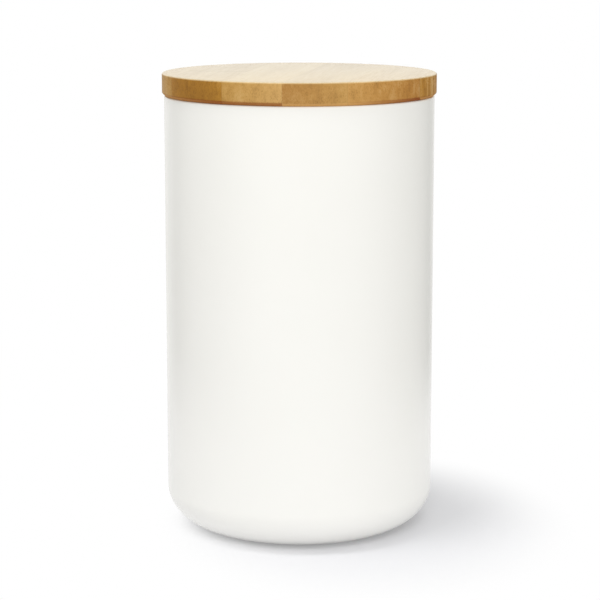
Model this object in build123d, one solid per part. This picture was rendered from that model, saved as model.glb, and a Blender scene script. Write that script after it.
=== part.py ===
from build123d import *
import math
import os

# A round ceramic canister with a bamboo lid. Millimetres, +Z up.
# The origin is the centre of the foot ring's lower face, on the jar's axis.

# Jar
JAR_DIAMETER = 108.4
JAR_HEIGHT = 176.0
JAR_WALL = 5.0
JAR_FLOOR = 6.5
CORNER_RUN = 20.0
CORNER_RISE = 16.0
INSIDE_SLOPE_RUN = 12.0
INSIDE_SLOPE_RISE = 9.0
RIM_CHAMFER = 1.0
FOOT_RING_WIDTH = 5.0
FOOT_RECESS_DEPTH = 1.4
FOOT_RECESS_SLOPE = 1.6

# Lid: a board of flat staves glued edge to edge
LID_OVERHANG = 0.8
LID_THICKNESS = 9.0
LID_TOP_CHAMFER = 0.6
LID_CHAMFER_WIDTH = 1.3
LID_CHAMFER_HEIGHT = 1.1
LID_STAVES = 6
LID_FIRST_STAVE_WIDTH = 10.0
LID_LAST_STAVE_WIDTH = 4.0
LID_STAVE_TURN = 10.0

# Plug: a second ply of staves, laid across the first and turned to pass through the mouth
MOUTH_CLEARANCE = 2.2
PLUG_DEPTH = 12.0
PLUG_CHAMFER = 1.0
PLUG_STAVES = 5
PLUG_EDGE_STAVE_WIDTH = 11.0
GROOVE_DEPTH = 2.6
GROOVE_WIDTH = 5.6
GROOVE_DROP = 2.6

# Seal: a flat silicone band in the groove, with lips that reach for the mouth
SEAL_SEAT_CLEARANCE = 0.15
SEAL_MOUTH_CLEARANCE = 0.2
SEAL_BAND_THICKNESS = 2.0
LIP_ROOT = 1.5
LIP_TIP = 0.8
LIP_SWEEP = 0.7
LIP_MARGIN = 0.4

# Sizes that follow from the ones above
JAR_RADIUS = JAR_DIAMETER / 2
MOUTH_RADIUS = JAR_RADIUS - JAR_WALL
FOOT_RADIUS = JAR_RADIUS - CORNER_RUN
LID_RADIUS = JAR_RADIUS + LID_OVERHANG
LID_TOP = JAR_HEIGHT + LID_THICKNESS
PLUG_RADIUS = MOUTH_RADIUS - MOUTH_CLEARANCE
PLUG_BOTTOM = JAR_HEIGHT - PLUG_DEPTH
GROOVE_RADIUS = PLUG_RADIUS - GROOVE_DEPTH
GROOVE_TOP = JAR_HEIGHT - GROOVE_DROP
GROOVE_BOTTOM = GROOVE_TOP - GROOVE_WIDTH

# The lid's staves run along the first direction, and the plug's along the second
LID_GRAIN = Vector(math.sin(math.radians(LID_STAVE_TURN)), math.cos(math.radians(LID_STAVE_TURN)), 0)
PLUG_GRAIN = Vector(LID_GRAIN.Y, -LID_GRAIN.X, 0)


def turned(lines):
    """One solid of revolution about Z from the closed half section that the lines make in XZ."""
    section = make_face(Plane.XZ * Curve(lines))
    return revolve(section, Axis.Z)


def jar():
    """Upright wall on a soft elliptical corner and a foot ring, eased rim, inside floor with sloped edge."""
    recess_radius = FOOT_RADIUS - FOOT_RING_WIDTH
    wall_top = JAR_HEIGHT - RIM_CHAMFER
    underside = Polyline(
        (0, FOOT_RECESS_DEPTH),
        (recess_radius - FOOT_RECESS_SLOPE, FOOT_RECESS_DEPTH),
        (recess_radius, 0),
        (FOOT_RADIUS, 0),
    )
    corner = EllipticalCenterArc(
        (FOOT_RADIUS, CORNER_RISE), CORNER_RUN, CORNER_RISE, start_angle=270, arc_size=90
    )
    wall = Polyline(
        (JAR_RADIUS, CORNER_RISE),
        (JAR_RADIUS, wall_top),
        (JAR_RADIUS - RIM_CHAMFER, JAR_HEIGHT),
        (MOUTH_RADIUS + RIM_CHAMFER, JAR_HEIGHT),
        (MOUTH_RADIUS, wall_top),
        (MOUTH_RADIUS, JAR_FLOOR + INSIDE_SLOPE_RISE),
        (MOUTH_RADIUS - INSIDE_SLOPE_RUN, JAR_FLOOR),
        (0, JAR_FLOOR),
        (0, FOOT_RECESS_DEPTH),
    )
    return turned([underside, corner, wall])


def lid_board():
    """The top disc before it is parted into staves: eased upper edge, chamfered lower edge."""
    section = Polyline(
        (0, JAR_HEIGHT),
        (LID_RADIUS - LID_CHAMFER_WIDTH, JAR_HEIGHT),
        (LID_RADIUS, JAR_HEIGHT + LID_CHAMFER_HEIGHT),
        (LID_RADIUS, LID_TOP - LID_TOP_CHAMFER),
        (LID_RADIUS - LID_TOP_CHAMFER, LID_TOP),
        (0, LID_TOP),
        (0, JAR_HEIGHT),
    )
    return turned([section])


def plug_board():
    """The plug disc before it is parted: two lands with the seal's groove turned between them."""
    section = Polyline(
        (0, JAR_HEIGHT),
        (PLUG_RADIUS, JAR_HEIGHT),
        (PLUG_RADIUS, GROOVE_TOP),
        (GROOVE_RADIUS, GROOVE_TOP),
        (GROOVE_RADIUS, GROOVE_BOTTOM),
        (PLUG_RADIUS, GROOVE_BOTTOM),
        (PLUG_RADIUS, PLUG_BOTTOM + PLUG_CHAMFER),
        (PLUG_RADIUS - PLUG_CHAMFER, PLUG_BOTTOM),
        (0, PLUG_BOTTOM),
        (0, JAR_HEIGHT),
    )
    return turned([section])


def seams(radius, count, first_width, last_width):
    """Places of the glue lines across a disc: the outer staves as given, the rest sharing what is left."""
    start = first_width - radius
    stave_width = (2 * radius - first_width - last_width) / (count - 2)
    return [start + step * stave_width for step in range(count - 1)]


def staves(board, across, glue_lines):
    """The board parted along its glue lines, in order across it."""
    parted = []
    rest = board
    for place in glue_lines:
        glue_face = Plane(origin=across * place, z_dir=across)
        parted.append(split(rest, bisect_by=glue_face, keep=Keep.BOTTOM))
        rest = split(rest, bisect_by=glue_face, keep=Keep.TOP)
    return parted + [rest]


def lid_seal():
    """Silicone ring: a band that fills the groove and two lips swept up towards the mouth's wall."""
    inner = GROOVE_RADIUS + SEAL_SEAT_CLEARANCE
    face = inner + SEAL_BAND_THICKNESS
    reach = MOUTH_RADIUS - SEAL_MOUTH_CLEARANCE
    low = GROOVE_BOTTOM + SEAL_SEAT_CLEARANCE
    high = GROOVE_TOP - SEAL_SEAT_CLEARANCE
    roots = [low + LIP_MARGIN, high - LIP_MARGIN - LIP_ROOT]
    outline = [(inner, low), (face, low)]
    for root in roots:
        middle = root + LIP_ROOT / 2 + LIP_SWEEP
        outline += [
            (face, root),
            (reach, middle - LIP_TIP / 2),
            (reach, middle + LIP_TIP / 2),
            (face, root + LIP_ROOT),
        ]
    outline += [(face, high), (inner, high)]
    return turned([Polyline(*outline, close=True)])


def nodes():
    """Every piece by its name."""
    pieces = {"jar": jar(), "lid_seal": lid_seal()}
    lid_seams = seams(LID_RADIUS, LID_STAVES, LID_FIRST_STAVE_WIDTH, LID_LAST_STAVE_WIDTH)
    plug_seams = seams(PLUG_RADIUS, PLUG_STAVES, PLUG_EDGE_STAVE_WIDTH, PLUG_EDGE_STAVE_WIDTH)
    for number, stave in enumerate(staves(lid_board(), PLUG_GRAIN, lid_seams), 1):
        pieces[f"lid_stave_{number}"] = stave
    for number, stave in enumerate(staves(plug_board(), LID_GRAIN, plug_seams), 1):
        pieces[f"plug_stave_{number}"] = stave
    return pieces


os.makedirs("parts", exist_ok=True)
for name, piece in nodes().items():
    export_step(piece, f"parts/{name}.step")
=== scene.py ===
"""A white ceramic canister with a bamboo lid, dressed for the render.

Metres, +Z up, standing on z = 0. The finishes count in millimetres.
"""

import math
from collections import namedtuple

import bmesh
import bpy
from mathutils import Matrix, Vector


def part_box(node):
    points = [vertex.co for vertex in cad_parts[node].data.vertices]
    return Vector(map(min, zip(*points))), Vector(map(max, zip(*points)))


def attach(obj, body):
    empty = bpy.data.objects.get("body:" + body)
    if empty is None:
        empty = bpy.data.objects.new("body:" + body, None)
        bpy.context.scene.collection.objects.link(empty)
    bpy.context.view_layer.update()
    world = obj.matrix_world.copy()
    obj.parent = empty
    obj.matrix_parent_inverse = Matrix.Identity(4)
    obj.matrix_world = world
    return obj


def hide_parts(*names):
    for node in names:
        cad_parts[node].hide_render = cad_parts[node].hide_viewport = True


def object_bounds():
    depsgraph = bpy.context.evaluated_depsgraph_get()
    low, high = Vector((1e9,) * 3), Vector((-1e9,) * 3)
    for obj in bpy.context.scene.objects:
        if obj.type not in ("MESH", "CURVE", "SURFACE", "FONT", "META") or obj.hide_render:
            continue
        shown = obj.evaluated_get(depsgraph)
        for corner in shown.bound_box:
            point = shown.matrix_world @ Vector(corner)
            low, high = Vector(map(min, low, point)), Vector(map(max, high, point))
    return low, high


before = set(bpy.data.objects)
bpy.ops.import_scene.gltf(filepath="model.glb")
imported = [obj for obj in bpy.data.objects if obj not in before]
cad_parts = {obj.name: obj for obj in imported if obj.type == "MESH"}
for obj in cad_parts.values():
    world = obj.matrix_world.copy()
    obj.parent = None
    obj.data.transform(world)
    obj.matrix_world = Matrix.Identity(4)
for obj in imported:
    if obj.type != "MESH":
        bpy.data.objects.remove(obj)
cad_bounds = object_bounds()

MM = 0.001

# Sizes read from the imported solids
_, jar_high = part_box("jar")
_, lid_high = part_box("lid_stave_3")
plug_low, plug_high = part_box("plug_stave_3")
seal_low, seal_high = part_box("lid_seal")
JAR_RADIUS = min(jar_high[0], jar_high[1])
JAR_HEIGHT = jar_high[2]
LID_RADIUS = min(*cad_bounds[1][:2], *(-c for c in cad_bounds[0][:2]))
LID_TOP = lid_high[2]
PLUG_RADIUS = plug_high[0]
PLUG_BOTTOM = plug_low[2]
SEAL_RADIUS = min(seal_high[0], seal_high[1])
SEAL_BOTTOM = seal_low[2]
SEAL_TOP = seal_high[2]

# Jar
JAR_WALL = 5.0 * MM
JAR_FLOOR = 6.5 * MM
CORNER_RUN = 20.0 * MM
CORNER_RISE = 16.0 * MM
INSIDE_CORNER_RUN = 15.0 * MM
RIM_OUTER_RUN = 0.8 * MM
RIM_INNER_RUN = 1.5 * MM
FOOT_RING_WIDTH = 5.0 * MM
FOOT_RECESS_DEPTH = 1.4 * MM
FOOT_RECESS_SLOPE = 1.6 * MM
FOOT_EDGE_ROUND = 0.4 * MM
MOUTH_RADIUS = JAR_RADIUS - JAR_WALL
FOOT_RADIUS = JAR_RADIUS - CORNER_RUN
RECESS_RADIUS = FOOT_RADIUS - FOOT_RING_WIDTH

# Lid board and plug, with the places of their glue lines across the grain
LID_TOP_ROUND = 0.7 * MM
LID_CHAMFER_WIDTH = 1.3 * MM
LID_CHAMFER_HEIGHT = 1.1 * MM
LID_CHAMFER_SOFT = 0.35 * MM
LID_STAVE_TURN = math.radians(10.0)
PLUG_STAVE_TURN = LID_STAVE_TURN - math.pi / 2
LID_SEAMS = [place * MM for place in (-45.0, -21.0, 3.0, 27.0, 51.0)]
PLUG_SEAMS = [place * MM for place in (-36.0, -12.0, 12.0, 36.0)]
PLUG_CHAMFER = 1.0 * MM
PLUG_EDGE_SOFT = 0.25 * MM
GROOVE_DEPTH = 2.6 * MM
SEAL_SEAT_CLEARANCE = 0.15 * MM
GROOVE_TOP = SEAL_TOP + SEAL_SEAT_CLEARANCE
GROOVE_BOTTOM = SEAL_BOTTOM - SEAL_SEAT_CLEARANCE
GROOVE_RADIUS = PLUG_RADIUS - GROOVE_DEPTH

# Seal
SEAL_BAND = 2.0 * MM
LIP_ROOT = 1.5 * MM
LIP_TIP = 0.8 * MM
LIP_SWEEP = 0.7 * MM
LIP_MARGIN = 0.4 * MM
LIP_SOFT = 0.3 * MM

# How finely round forms are turned and rounded
TURN_STEPS = 256
CORNER_SEGMENTS = 24
INSIDE_CORNER_SEGMENTS = 16
RIM_SEGMENTS = 8
LID_TOP_SEGMENTS = 6
EDGE_SEGMENTS = 4
MATCH = 0.01 * MM
CUT_MATCH = MATCH / 10
SHARP_ANGLE = math.radians(34.0)

# The camera of the photograph, from the outlines of lid, wall and base
CAMERA_PLACE = (0.27 * MM, -855.2 * MM, 248.3 * MM)
CAMERA_PITCH = math.radians(10.345)
CAMERA_LENS = 127.76
CAMERA_SENSOR = 36.0
CAMERA_REACH = 50.0


class Wire:
    """A shader socket that takes part in sums: each operator adds one Math node to its tree."""

    def __init__(self, graph, socket):
        self.graph = graph
        self.socket = socket

    def __add__(self, other):
        return self.graph.math("ADD", self, other)

    def __sub__(self, other):
        return self.graph.math("SUBTRACT", self, other)

    def __rsub__(self, other):
        return self.graph.math("SUBTRACT", other, self)

    def __mul__(self, other):
        return self.graph.math("MULTIPLY", self, other)

    def __truediv__(self, other):
        return self.graph.math("DIVIDE", self, other)

    def __abs__(self):
        return self.graph.math("ABSOLUTE", self)

    __radd__ = __add__
    __rmul__ = __mul__


class Graph:
    """The node tree of one material or world, emptied and ready to be filled."""

    def __init__(self, owner):
        owner.use_nodes = True
        self.tree = owner.node_tree
        self.tree.nodes.clear()

    def node(self, kind, settings=None, sockets=None, output=0):
        """Adds a node, sets it up, fills or links its sockets and gives back one output."""
        made = self.tree.nodes.new(kind)
        for name, value in (settings or {}).items():
            setattr(made, name, value)
        for name, value in (sockets or {}).items():
            if isinstance(value, Wire):
                self.tree.links.new(value.socket, made.inputs[name])
            else:
                made.inputs[name].default_value = value
        return Wire(self, made.outputs[output]) if made.outputs else None

    def math(self, operation, first, second=0.0):
        return self.node("ShaderNodeMath", {"operation": operation}, {0: first, 1: second})

    def vector(self, operation, *operands, output=0):
        """Vector Math on one or more vectors."""
        settings = {"operation": operation}
        return self.node("ShaderNodeVectorMath", settings, dict(enumerate(operands)), output)

    def length(self, vector):
        return self.vector("LENGTH", vector, output=1)

    def part(self, vector, axis):
        """One component of a vector."""
        return self.node("ShaderNodeSeparateXYZ", None, {0: vector}, output="XYZ".index(axis))

    def mix(self, factor, first, second):
        """Colours first and second, mixed by factor."""
        sockets = {0: factor, 6: first, 7: second}
        return self.node("ShaderNodeMix", {"data_type": "RGBA"}, sockets, output=2)

    def ease(self, value, start, end):
        """0 up to start, 1 past end and smooth between, whichever of the two is higher."""
        settings = {"interpolation_type": "SMOOTHSTEP"}
        sockets = {"Value": value, "From Min": start, "From Max": end}
        return self.node("ShaderNodeMapRange", settings, sockets)

    def place(self, turn=0.0, stretch=(1.0, 1.0, 1.0), shift=(0.0, 0.0, 0.0)):
        """Object coordinates in millimetres, turned about Z, then stretched and shifted."""
        here = self.node("ShaderNodeTexCoord", output="Object")
        turning = {"Vector": here, "Rotation": (0.0, 0.0, turn), "Scale": (1 / MM,) * 3}
        laying = {
            "Vector": self.node("ShaderNodeMapping", None, turning),
            "Location": shift,
            "Scale": stretch,
        }
        return self.node("ShaderNodeMapping", None, laying)

    def noise(self, vector, scale=1.0, detail=3.0, roughness=0.5, distortion=0.0):
        sockets = {
            "Vector": vector,
            "Scale": scale,
            "Detail": detail,
            "Roughness": roughness,
            "Distortion": distortion,
        }
        return self.node("ShaderNodeTexNoise", None, sockets)

    def cells(self, vector, scale):
        """Distance to the nearest cell centre."""
        sockets = {"Vector": vector, "Scale": scale}
        return self.node("ShaderNodeTexVoronoi", {"feature": "F1"}, sockets)

    def bump(self, height, strength, depth):
        sockets = {"Height": height, "Strength": strength, "Distance": depth}
        return self.node("ShaderNodeBump", None, sockets)

    def surface(self, **sockets):
        """A Principled surface, whose sockets are named with underscores for spaces."""
        named = {name.replace("_", " "): value for name, value in sockets.items()}
        shader = self.node("ShaderNodeBsdfPrincipled", None, named)
        self.node("ShaderNodeOutputMaterial", None, {"Surface": shader})


def srgb(red, green, blue):
    """A linear colour with alpha from the 0 to 255 values it shows on a screen."""
    def linear(value):
        share = value / 255
        return share / 12.92 if share <= 0.04045 else ((share + 0.055) / 1.055) ** 2.4

    return (linear(red), linear(green), linear(blue), 1.0)


# Finishes. Lengths from here to the shapes are in millimetres, and scales are per millimetre.

# Glaze: colours, then where it thins over the rim and where the foot ring is left bare
GLAZE = srgb(247, 246, 241)
GLAZE_CLOUD = srgb(250, 249, 245)
THIN_GLAZE = srgb(238, 231, 216)
BISCUIT = srgb(214, 200, 178)
BISCUIT_GRIT = srgb(232, 221, 202)
FROM_AXIS = (1.0, 1.0, 0.0)
RIM_LEVEL = JAR_HEIGHT / MM
THIN_FROM = RIM_LEVEL - 1.0
THIN_FULL = RIM_LEVEL + 0.1
THIN_SHARE = 0.35
BARE_OUTER_FROM = FOOT_RADIUS / MM + 1.5
BARE_OUTER_FULL = FOOT_RADIUS / MM + 0.7
BARE_INNER_FROM = RECESS_RADIUS / MM - 0.5
BARE_INNER_FULL = RECESS_RADIUS / MM + 0.1
BARE_HEIGHT_FROM = 0.75
BARE_HEIGHT_FULL = 0.45
BARE_WANDER = 0.5

# Bamboo: colours
# Painted sheen: the upper face's pale colours stand in for the light from above and the white room
# that it reflects
PAINTED_SHEEN_FACE = srgb(241, 223, 178)
PAINTED_SHEEN_FACE_FIBRE = srgb(222, 198, 148)
PALE_FIBRE = srgb(228, 194, 134)
DARK_FIBRE = srgb(98, 54, 14)
PAINTED_BOUNCE_LIGHT = srgb(230, 176, 108)
LOWER_EDGE_BROWN = srgb(138, 62, 0)

# Bamboo: repeats of each pattern across the grain, along it and through the board
SWAY = (0.05, 0.012, 0.05)
BUNDLES = (1.0, 0.03, 0.5)
FINE_FIBRE = (4.0, 0.1, 2.0)
BROAD_TONE = (0.14, 0.016, 0.1)
MOTTLE = (0.6, 0.35, 0.4)
CHATTER = (0.4, 0.4, 0.05)
NODE_WAVE = (0.3, 0.0, 0.2)
SEED_STEP = (17.3, 41.7, 9.1)

# Bamboo: fibre bundles as cells that sway sideways, and the band of a node
SWAY_REACH = (3.0, 0.0, 0.0)
BUNDLE_SCALE = 1.9
BUNDLE_EDGE = 0.5
BUNDLE_CORE = 0.15
NODE_REACH = 3.0
NODE_EDGE = 2.2
NODE_CORE = 0.3

# Bamboo: how much each pattern counts, about the middle value that it has by itself
NOISE_MIDDLE = 0.5
BUNDLE_MIDDLE = 0.3
BROAD_SHARE = 0.9
MOTTLE_SHARE = 0.5
FINE_SHARE = 0.7
BUNDLE_SHARE = 0.1
CROWDED_SHARE = 0.16
NODE_SHARE = 0.3

# Bamboo: the cutter's marks, stronger towards one side of the lid
CUTTER_SHARE = 0.4
CUTTER_SIDE_SHARE = 1.1
CUTTER_SIDE_FROM = 38.0
CUTTER_SIDE_FULL = 52.0

# Bamboo: the lid's upper face with its painted sheen, its lower chamfer with painted bounce light,
# the darker brown there and glue lines
LID_UNDERSIDE = JAR_HEIGHT / MM
LID_LOWER_EDGE = (JAR_HEIGHT + LID_CHAMFER_HEIGHT) / MM
LID_THICKNESS = (LID_TOP - JAR_HEIGHT) / MM
FACE_FROM = LID_TOP / MM - 0.6
FACE_FULL = LID_TOP / MM - 0.1
FACE_CONTRAST = 1.6
FACE_SHEEN_SHARE = 0.75
CHAMFER_FROM = LID_LOWER_EDGE + 0.15
CHAMFER_FULL = LID_LOWER_EDGE - 0.1
BOARD_FROM = LID_UNDERSIDE - 0.2
BOARD_FULL = LID_UNDERSIDE - 0.05
BOUNCE_LIGHT_SHARE = 0.6
DARKEN_FROM = LID_LOWER_EDGE + 0.7
DARKEN_WANDER = 1.6
SEAM_EDGE = 0.2
SEAM_CORE = 0.03
SEAM_SHARE = 0.14


def satin_glaze():
    """White satin glaze, faintly clouded, warm where it thins and bare on the foot ring."""
    material = bpy.data.materials.new("satin_glaze")
    graph = Graph(material)
    here = graph.place()
    height = graph.part(here, "Z")
    radius = graph.length(graph.vector("MULTIPLY", here, FROM_AXIS))

    clouds = graph.noise(here, scale=0.02, detail=4.0)
    glaze = graph.mix(clouds, GLAZE, GLAZE_CLOUD)
    rim = graph.ease(height, THIN_FROM, THIN_FULL)
    ring_outer = graph.ease(radius, BARE_OUTER_FROM, BARE_OUTER_FULL)
    ring_inner = graph.ease(radius, BARE_INNER_FROM, BARE_INNER_FULL)
    wander = graph.noise(here, scale=0.6, detail=2.0) * BARE_WANDER
    low = graph.ease(height + wander, BARE_HEIGHT_FROM, BARE_HEIGHT_FULL)
    bare = low * ring_outer * ring_inner
    thinned = graph.mix(rim * THIN_SHARE, glaze, THIN_GLAZE)
    grit = graph.noise(here, scale=5.0, detail=2.0)
    biscuit = graph.mix(grit, BISCUIT, BISCUIT_GRIT)

    peel = graph.noise(here, scale=0.55, detail=2.0)
    sway = graph.noise(here, scale=0.045, detail=1.0)
    polish = graph.noise(here, scale=0.09)
    relief = peel * 0.25 + sway + grit * bare * 0.3
    graph.surface(
        Base_Color=graph.mix(bare, thinned, biscuit),
        Roughness=0.17 + polish * 0.1 + bare * 0.5,
        IOR=1.5,
        Normal=graph.bump(relief, strength=0.25, depth=0.12 * MM),
    )
    return material


def bamboo(name, look, turn, low, high, seams):
    """One stave's bamboo: fibre bundles along the grain, glue lines at its edges and a node band.

    turn lays the grain along the pattern's own Y, low and high are the stave's edges across the
    grain, and seams those of them that are glued. The tone and how much darker brown the lower
    edge is drift from one edge to the other.
    """
    material = bpy.data.materials.new(name)
    graph = Graph(material)
    here = graph.place(turn)
    across = graph.part(here, "X")
    along = graph.part(here, "Y")
    height = graph.part(here, "Z")
    drift = (across - low / MM) / ((high - low) / MM)

    def laid(stretch):
        return graph.place(turn, stretch, [step * look.seed for step in SEED_STEP])

    # Patterns
    sway = graph.noise(laid(SWAY), detail=2.0)
    sideways = graph.node("ShaderNodeCombineXYZ", None, {"X": sway})
    swayed = graph.vector("MULTIPLY_ADD", sideways, SWAY_REACH, laid(BUNDLES))
    bundle = graph.ease(graph.cells(swayed, BUNDLE_SCALE), BUNDLE_EDGE, BUNDLE_CORE)
    fine = graph.noise(laid(FINE_FIBRE), detail=4.0, roughness=0.65)
    broad = graph.noise(laid(BROAD_TONE))
    mottle = graph.noise(laid(MOTTLE), roughness=0.6)
    chatter = graph.noise(laid(CHATTER), distortion=0.4)
    node_wave = along - look.node_at + graph.noise(laid(NODE_WAVE)) * NODE_REACH
    node_band = graph.ease(abs(node_wave), NODE_EDGE, NODE_CORE)

    # Bundles crowd towards the outside of the culm
    depth = (height - LID_UNDERSIDE) / LID_THICKNESS
    crowd = graph.ease(depth if look.outside_up else 1 - depth, 0.0, 1.0)
    figure = (
        (broad - NOISE_MIDDLE) * BROAD_SHARE
        + (mottle - NOISE_MIDDLE) * MOTTLE_SHARE
        + (NOISE_MIDDLE - fine) * FINE_SHARE
        - (bundle - BUNDLE_MIDDLE) * (BUNDLE_SHARE + CROWDED_SHARE * crowd)
        - node_band * NODE_SHARE
    )
    cutter_side = graph.ease(across, CUTTER_SIDE_FROM, CUTTER_SIDE_FULL)
    cutter_marks = (NOISE_MIDDLE - chatter) * (CUTTER_SHARE + CUTTER_SIDE_SHARE * cutter_side)

    # The heart's darkening is a parabola that is 1 midway between the stave's edges
    shade = figure + cutter_marks - drift * (1 - drift) * (4.0 * look.heart)
    tone = graph.mix(drift, look.low_tone, look.high_tone)
    body = graph.mix(shade, tone, PALE_FIBRE)
    body = graph.mix(0.0 - shade, body, DARK_FIBRE)

    # The upper face is painted paler, a painted sheen of the light from above and the white room,
    # with the fibres still showing
    upper_face = graph.ease(height, FACE_FROM, FACE_FULL)
    face = graph.mix(NOISE_MIDDLE - figure * FACE_CONTRAST, PAINTED_SHEEN_FACE, PAINTED_SHEEN_FACE_FIBRE)
    body = graph.mix(upper_face * FACE_SHEEN_SHARE, body, face)

    # The chamfer is painted lighter: painted bounce light from the white jar and the floor below it
    chamfer = graph.ease(height, CHAMFER_FROM, CHAMFER_FULL)
    cut_edge = chamfer * graph.ease(height, BOARD_FROM, BOARD_FULL)
    body = graph.mix(cut_edge * BOUNCE_LIGHT_SHARE, body, PAINTED_BOUNCE_LIGHT)
    # Darker brown towards the lid's lower edge, by a share that differs from stave to stave
    uneven = height + (fine - NOISE_MIDDLE) * DARKEN_WANDER
    lower_edge = graph.ease(uneven, DARKEN_FROM, LID_LOWER_EDGE)
    darkening = look.low_burn + drift * (look.high_burn - look.low_burn)
    body = graph.mix(lower_edge * darkening, body, LOWER_EDGE_BROWN)

    for seam in seams:
        line = graph.ease(abs(across - seam / MM), SEAM_EDGE, SEAM_CORE)
        body = graph.mix(line * SEAM_SHARE, body, DARK_FIBRE)

    relief = fine * 0.6 - bundle * 0.4 + node_band * 0.6
    graph.surface(
        Base_Color=body,
        Roughness=0.4 + fine * 0.16 + bundle * 0.06 + cut_edge * 0.4,
        IOR=1.3,
        Normal=graph.bump(relief, strength=0.3, depth=0.04 * MM),
        Coat_Weight=upper_face * (0.88 + mottle * 0.2),
        Coat_Roughness=0.25,
        Coat_IOR=1.6,
    )
    return material


def soft_silicone():
    """Milky food-grade silicone with a faint bloom and moulding haze."""
    material = bpy.data.materials.new("soft_silicone")
    graph = Graph(material)
    here = graph.place()
    bloom = graph.noise(here, scale=0.25, detail=4.0)
    haze = graph.noise(here, scale=2.2, detail=2.0)
    graph.surface(
        Base_Color=graph.mix(bloom, srgb(226, 226, 220), srgb(240, 240, 235)),
        Roughness=0.42 + haze * 0.16,
        IOR=1.41,
        Subsurface_Weight=0.25,
        Subsurface_Radius=(1.0, 1.0, 0.9),
        Subsurface_Scale=1.2 * MM,
        Normal=graph.bump(haze, strength=0.15, depth=0.03 * MM),
    )
    return material


# Shapes


def close_holes(shell):
    """Fills every open ring of edges with one flat face."""
    open_edges = [edge for edge in shell.edges if edge.is_boundary]
    bmesh.ops.holes_fill(shell, edges=open_edges, sides=0)


def turned(corners, closed=False, stretch=1.0):
    """A round shell about Z from the corners of its half section, heights stretched by a factor.

    A section that ends away from the axis is capped with flat discs, unless it is closed into
    a ring.
    """
    shell = bmesh.new()
    points = [shell.verts.new((radius, 0.0, height * stretch)) for radius, height in corners]
    pairs = list(zip(points, points[1:])) + ([(points[-1], points[0])] if closed else [])
    outline = [shell.edges.new(pair) for pair in pairs]
    bmesh.ops.spin(
        shell, geom=points + outline, cent=(0, 0, 0), axis=(0, 0, 1), angle=math.tau,
        steps=TURN_STEPS, use_merge=True,
    )
    bmesh.ops.remove_doubles(shell, verts=shell.verts, dist=MATCH)
    close_holes(shell)
    bmesh.ops.recalc_face_normals(shell, faces=shell.faces)
    return shell


def soften(shell, radius, height, width, segments=EDGE_SEGMENTS):
    """Rounds the ring of edges at one radius and height."""
    def on_ring(point):
        return (
            abs(math.hypot(point.co.x, point.co.y) - radius) < MATCH
            and abs(point.co.z - height) < MATCH
        )

    ring = [edge for edge in shell.edges if all(on_ring(point) for point in edge.verts)]
    bmesh.ops.bevel(
        shell, geom=ring, offset=width, offset_type="OFFSET", segments=segments, profile=0.5,
        affect="EDGES", material=-1, clamp_overlap=True,
    )


def stave(board, across, low, high):
    """The slab of a turned board between two glue faces, with both cut faces closed."""
    slab = board.copy()
    for place, clear in ((low, "clear_inner"), (high, "clear_outer")):
        if place is None:
            continue
        bmesh.ops.bisect_plane(
            slab, geom=slab.verts[:] + slab.edges[:] + slab.faces[:], dist=CUT_MATCH,
            plane_co=across * place, plane_no=across, **{clear: True},
        )
        close_holes(slab)
    bmesh.ops.recalc_face_normals(slab, faces=slab.faces)
    return slab


def finish_piece(name, shell, material, body, node):
    """Shades a shell smooth between its sharp edges and sets it in the frame in place of a node."""
    for face in shell.faces:
        face.smooth = True
    for edge in shell.edges:
        edge.smooth = edge.calc_face_angle(0.0) < SHARP_ANGLE
    mesh = bpy.data.meshes.new(name)
    shell.to_mesh(mesh)
    shell.free()
    mesh.materials.append(material)
    piece = bpy.data.objects.new(name, mesh)
    bpy.context.scene.collection.objects.link(piece)
    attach(piece, body)
    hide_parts(node)


def jar_shell():
    """Wall, soft lower corner, round rim, inside and foot ring, turned as one glazed body.

    The soft corners are wider than high by one ratio, so they are rounded on a taller jar, which
    is then brought down to its height.
    """
    tall = CORNER_RUN / CORNER_RISE
    shell = turned(
        [
            (0.0, FOOT_RECESS_DEPTH),
            (RECESS_RADIUS - FOOT_RECESS_SLOPE, FOOT_RECESS_DEPTH),
            (RECESS_RADIUS, 0.0),
            (JAR_RADIUS, 0.0),
            (JAR_RADIUS, JAR_HEIGHT),
            (MOUTH_RADIUS, JAR_HEIGHT),
            (MOUTH_RADIUS, JAR_FLOOR),
            (0.0, JAR_FLOOR),
        ],
        stretch=tall,
    )
    soften(shell, JAR_RADIUS, 0.0, CORNER_RUN, CORNER_SEGMENTS)
    soften(shell, JAR_RADIUS, JAR_HEIGHT * tall, RIM_OUTER_RUN, RIM_SEGMENTS)
    soften(shell, MOUTH_RADIUS, JAR_HEIGHT * tall, RIM_INNER_RUN, RIM_SEGMENTS)
    soften(shell, MOUTH_RADIUS, JAR_FLOOR * tall, INSIDE_CORNER_RUN, INSIDE_CORNER_SEGMENTS)
    bmesh.ops.scale(shell, vec=(1.0, 1.0, 1.0 / tall), verts=shell.verts)
    soften(shell, RECESS_RADIUS, 0.0, FOOT_EDGE_ROUND)
    soften(shell, RECESS_RADIUS - FOOT_RECESS_SLOPE, FOOT_RECESS_DEPTH, FOOT_EDGE_ROUND)
    return shell


def lid_board():
    """The lid's top disc before it is parted into staves."""
    chamfer_top = JAR_HEIGHT + LID_CHAMFER_HEIGHT
    board = turned(
        [
            (LID_RADIUS - LID_CHAMFER_WIDTH, JAR_HEIGHT),
            (LID_RADIUS, chamfer_top),
            (LID_RADIUS, LID_TOP),
        ]
    )
    soften(board, LID_RADIUS, LID_TOP, LID_TOP_ROUND, LID_TOP_SEGMENTS)
    soften(board, LID_RADIUS, chamfer_top, LID_CHAMFER_SOFT)
    soften(board, LID_RADIUS - LID_CHAMFER_WIDTH, JAR_HEIGHT, LID_CHAMFER_SOFT)
    return board


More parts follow.
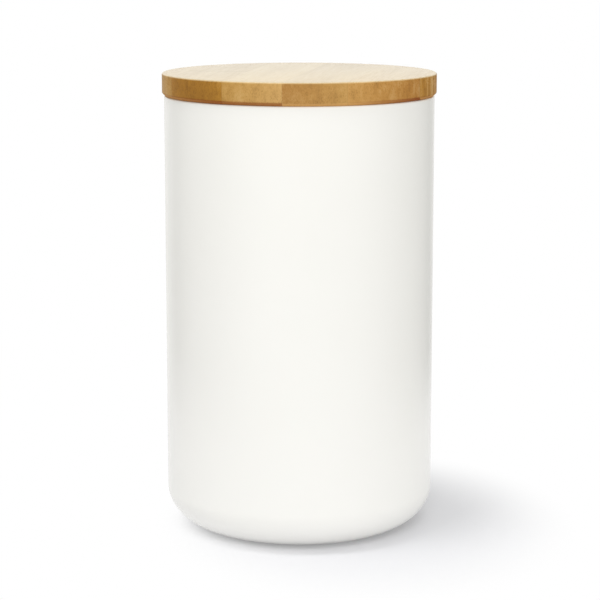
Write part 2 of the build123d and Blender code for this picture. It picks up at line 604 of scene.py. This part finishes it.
def plug_board():
    """The plug's disc, with the seal's groove between two lands, before it is parted."""
    board = turned(
        [
            (PLUG_RADIUS, JAR_HEIGHT),
            (PLUG_RADIUS, GROOVE_TOP),
            (GROOVE_RADIUS, GROOVE_TOP),
            (GROOVE_RADIUS, GROOVE_BOTTOM),
            (PLUG_RADIUS, GROOVE_BOTTOM),
            (PLUG_RADIUS, PLUG_BOTTOM + PLUG_CHAMFER),
            (PLUG_RADIUS - PLUG_CHAMFER, PLUG_BOTTOM),
        ]
    )
    soften(board, PLUG_RADIUS, GROOVE_TOP, PLUG_EDGE_SOFT)
    soften(board, PLUG_RADIUS, GROOVE_BOTTOM, PLUG_EDGE_SOFT)
    soften(board, PLUG_RADIUS, PLUG_BOTTOM + PLUG_CHAMFER, PLUG_EDGE_SOFT)
    soften(board, PLUG_RADIUS - PLUG_CHAMFER, PLUG_BOTTOM, PLUG_EDGE_SOFT)
    return board


def seal_ring():
    """Silicone band that fills the groove, with two lips swept up towards the mouth's wall."""
    inner = GROOVE_RADIUS + SEAL_SEAT_CLEARANCE
    face = inner + SEAL_BAND
    corners = [(inner, SEAL_BOTTOM), (face, SEAL_BOTTOM)]
    tips = []
    for root in (SEAL_BOTTOM + LIP_MARGIN, SEAL_TOP - LIP_MARGIN - LIP_ROOT):
        middle = root + LIP_ROOT / 2 + LIP_SWEEP
        lip = [middle - LIP_TIP / 2, middle + LIP_TIP / 2]
        corners += [(face, root), *((SEAL_RADIUS, tip) for tip in lip), (face, root + LIP_ROOT)]
        tips += lip
    corners += [(face, SEAL_TOP), (inner, SEAL_TOP)]
    ring = turned(corners, closed=True)
    for tip in tips:
        soften(ring, SEAL_RADIUS, tip, LIP_SOFT)
    return ring


# The object

GRAIN = Vector((math.sin(LID_STAVE_TURN), math.cos(LID_STAVE_TURN), 0.0))
ACROSS = Vector((GRAIN.y, -GRAIN.x, 0.0))

# How a stave looks: tone, and how much darker brown the lower edge is, at its low and high edge
# across the grain, how much darker its heart is, the seed of its pattern, the place of its node
# along the grain in millimetres, and if the outside of the culm lies up
Look = namedtuple("Look", "low_tone high_tone low_burn high_burn heart seed node_at outside_up")

LID_STAVES = [
    Look(srgb(195, 149, 76), srgb(190, 142, 64), 0.3, 0.3, 0.0, 1, 70.0, True),
    Look(srgb(176, 123, 42), srgb(178, 127, 46), 0.35, 0.82, 0.3, 2, 0.0, True),
    Look(srgb(190, 145, 74), srgb(206, 163, 98), 0.72, 0.66, 0.05, 3, -90.0, False),
    Look(srgb(176, 128, 66), srgb(196, 151, 84), 0.0, 0.0, 0.15, 4, 44.0, False),
    Look(srgb(200, 152, 84), srgb(184, 128, 55), 0.0, 0.9, 0.08, 5, 90.0, True),
    Look(srgb(186, 132, 48), srgb(186, 132, 48), 0.35, 0.2, 0.0, 6, -80.0, True),
]
PLUG_STAVES = [
    Look(srgb(180, 133, 66), srgb(186, 140, 74), 0.0, 0.0, 0.0, 7, 80.0, True),
    Look(srgb(192, 148, 80), srgb(184, 138, 70), 0.0, 0.0, 0.0, 8, -12.0, False),
    Look(srgb(183, 136, 68), srgb(190, 144, 76), 0.0, 0.0, 0.0, 9, 95.0, True),
    Look(srgb(165, 116, 48), srgb(174, 126, 58), 0.0, 0.0, 0.0, 10, 26.0, False),
    Look(srgb(190, 144, 76), srgb(182, 134, 66), 0.0, 0.0, 0.0, 11, -85.0, True),
]


def staves(kind, board, radius, across, turn, seams, looks):
    """Parts a board into staves, each with its own bamboo."""
    edges = [-radius, *seams, radius]
    for number, (look, low, high) in enumerate(zip(looks, edges, edges[1:]), 1):
        name = f"{kind}_stave_{number}"
        glued = [place for place in (low, high) if place in seams]
        finish = bamboo(f"bamboo_{name}", look, turn, low, high, glued)
        cuts = [place if place in seams else None for place in (low, high)]
        slab = stave(board, across, *cuts)
        finish_piece(f"{name}_dressed", slab, finish, "lid", name)
    board.free()


finish_piece("jar_dressed", jar_shell(), satin_glaze(), "jar", "jar")
finish_piece("lid_seal_dressed", seal_ring(), soft_silicone(), "seal", "lid_seal")
staves("lid", lid_board(), LID_RADIUS, ACROSS, LID_STAVE_TURN, LID_SEAMS, LID_STAVES)
staves("plug", plug_board(), PLUG_RADIUS, GRAIN, PLUG_STAVE_TURN, PLUG_SEAMS, PLUG_STAVES)


# Floor, light and camera, in metres

WHITE = (1.0, 1.0, 1.0, 1.0)
FLOOR_RADIUS = 0.42
FLOOR_SIDES = 96
FLOOR_FADE_START = 0.16
FLOOR_COLOUR = (0.845, 0.847, 0.875, 1.0)
SHADOW_CENTRE = (0.028, -0.002, 0.0)
SHADOW_DEPTH = 1.3
SHADOW_FADE_START = 0.034
SHADOW_FADE_END = 0.088
CONTACT_FADE_START = 0.036
CONTACT_FADE_END = 0.051
CONTACT_PAINTED_LIGHT = 0.29
AMBIENT = 0.69
BACKDROP_LEAN = 0.15
BACKDROP_START = 0.68
BACKDROP_FULL = 0.98
FRONT_START = 0.0
FRONT_FULL = -0.9
ROOM_LEVEL = 0.2
ROOM_TINT = (1.0, 1.0, 0.98, 1.0)
FOOT = (0.0, 0.0, 0.0)
MIDDLE = (0.0, 0.0, JAR_HEIGHT / 2)


def seen_directly(graph):
    """1 for what the camera, a reflection or a clear material looks at, 0 for bounced light."""
    looks = [
        graph.node("ShaderNodeLightPath", output=ray)
        for ray in ("Is Camera Ray", "Is Glossy Ray", "Is Transmission Ray")
    ]
    return graph.math("MINIMUM", looks[0] + looks[1] + looks[2], 1.0)


def pale_floor():
    """Matt where the jar's shadow falls, running out to white and then to nothing."""
    material = bpy.data.materials.new("pale_floor")
    graph = Graph(material)
    here = graph.node("ShaderNodeTexCoord", output="Object")
    offset = graph.vector("SUBTRACT", here, SHADOW_CENTRE)
    squeezed = graph.vector("MULTIPLY", offset, (1.0, 1.0 / SHADOW_DEPTH, 1.0))
    from_middle = graph.length(here)
    past_contact = graph.ease(from_middle, CONTACT_FADE_START, CONTACT_FADE_END)
    past_shadow = graph.ease(graph.length(squeezed), SHADOW_FADE_START, SHADOW_FADE_END)
    # Painted light: near the foot a share of white is mixed in over the rendered contact shadow to
    # lighten it
    run_out = CONTACT_PAINTED_LIGHT + (past_shadow - CONTACT_PAINTED_LIGHT) * past_contact
    matt = graph.node("ShaderNodeBsdfDiffuse", None, {"Color": FLOOR_COLOUR})
    white = graph.node("ShaderNodeEmission", None, {"Color": WHITE, "Strength": 1.0})
    lit = {0: seen_directly(graph) * run_out, 1: matt, 2: white}
    faded = {
        0: graph.ease(from_middle, FLOOR_FADE_START, FLOOR_RADIUS),
        1: graph.node("ShaderNodeMixShader", None, lit),
        2: graph.node("ShaderNodeBsdfTransparent"),
    }
    ground = graph.node("ShaderNodeMixShader", None, faded)
    graph.node("ShaderNodeOutputMaterial", None, {"Surface": ground})
    return material


def floor():
    """A round floor that keeps the shadow at the jar's foot."""
    shell = bmesh.new()
    bmesh.ops.create_circle(shell, cap_ends=True, segments=FLOOR_SIDES, radius=FLOOR_RADIUS)
    mesh = bpy.data.meshes.new("floor")
    shell.to_mesh(mesh)
    shell.free()
    mesh.materials.append(pale_floor())
    disc = bpy.data.objects.new("floor", mesh)
    bpy.context.scene.collection.objects.link(disc)


def softbox(name, place, aim, size, power):
    """A square soft lamp that looks at a point, and leaves the reflections to the room."""
    lamp = bpy.data.lights.new(name, "AREA")
    lamp.shape = "SQUARE"
    lamp.size = size
    lamp.energy = power
    holder = bpy.data.objects.new(name, lamp)
    holder.visible_glossy = False
    holder.location = place
    holder.rotation_euler = (Vector(aim) - Vector(place)).to_track_quat("-Z", "Y").to_euler()
    bpy.context.scene.collection.objects.link(holder)


def surroundings():
    """White to the camera, an even light, and reflections of a room that is dim at its sides."""
    world = bpy.data.worlds.new("studio")
    graph = Graph(world)
    direction = graph.node("ShaderNodeTexCoord", output="Generated")
    depth = graph.part(direction, "Y") - graph.part(direction, "X") * BACKDROP_LEAN
    backdrop = graph.ease(depth, BACKDROP_START, BACKDROP_FULL)
    front = graph.ease(depth, FRONT_START, FRONT_FULL)
    reflected = ROOM_LEVEL + (1.0 - ROOM_LEVEL) * (backdrop + front)
    light = AMBIENT + (reflected - AMBIENT) * seen_directly(graph)
    to_camera = graph.node("ShaderNodeLightPath", output="Is Camera Ray")
    strength = to_camera + (1.0 - to_camera) * light
    tint = graph.mix(to_camera, ROOM_TINT, WHITE)
    sky = graph.node("ShaderNodeBackground", None, {"Color": tint, "Strength": strength})
    graph.node("ShaderNodeOutputWorld", None, {"Surface": sky})
    bpy.context.scene.world = world


def camera():
    """The photograph's camera, level from side to side and tipped down by its pitch."""
    lens = bpy.data.cameras.new("photo_camera")
    lens.lens = CAMERA_LENS
    lens.sensor_width = CAMERA_SENSOR
    lens.clip_end = CAMERA_REACH
    holder = bpy.data.objects.new("photo_camera", lens)
    holder.location = CAMERA_PLACE
    holder.rotation_euler = (math.pi / 2 - CAMERA_PITCH, 0.0, 0.0)
    bpy.context.scene.collection.objects.link(holder)
    bpy.context.scene.camera = holder


floor()
surroundings()
softbox("front", place=(0.2, -1.2, 1.0), aim=MIDDLE, size=0.8, power=6.6)
softbox("top", place=(-0.22, -0.2, 1.0), aim=FOOT, size=0.3, power=2.1)
camera()
bpy.context.scene.view_settings.view_transform = "Standard"
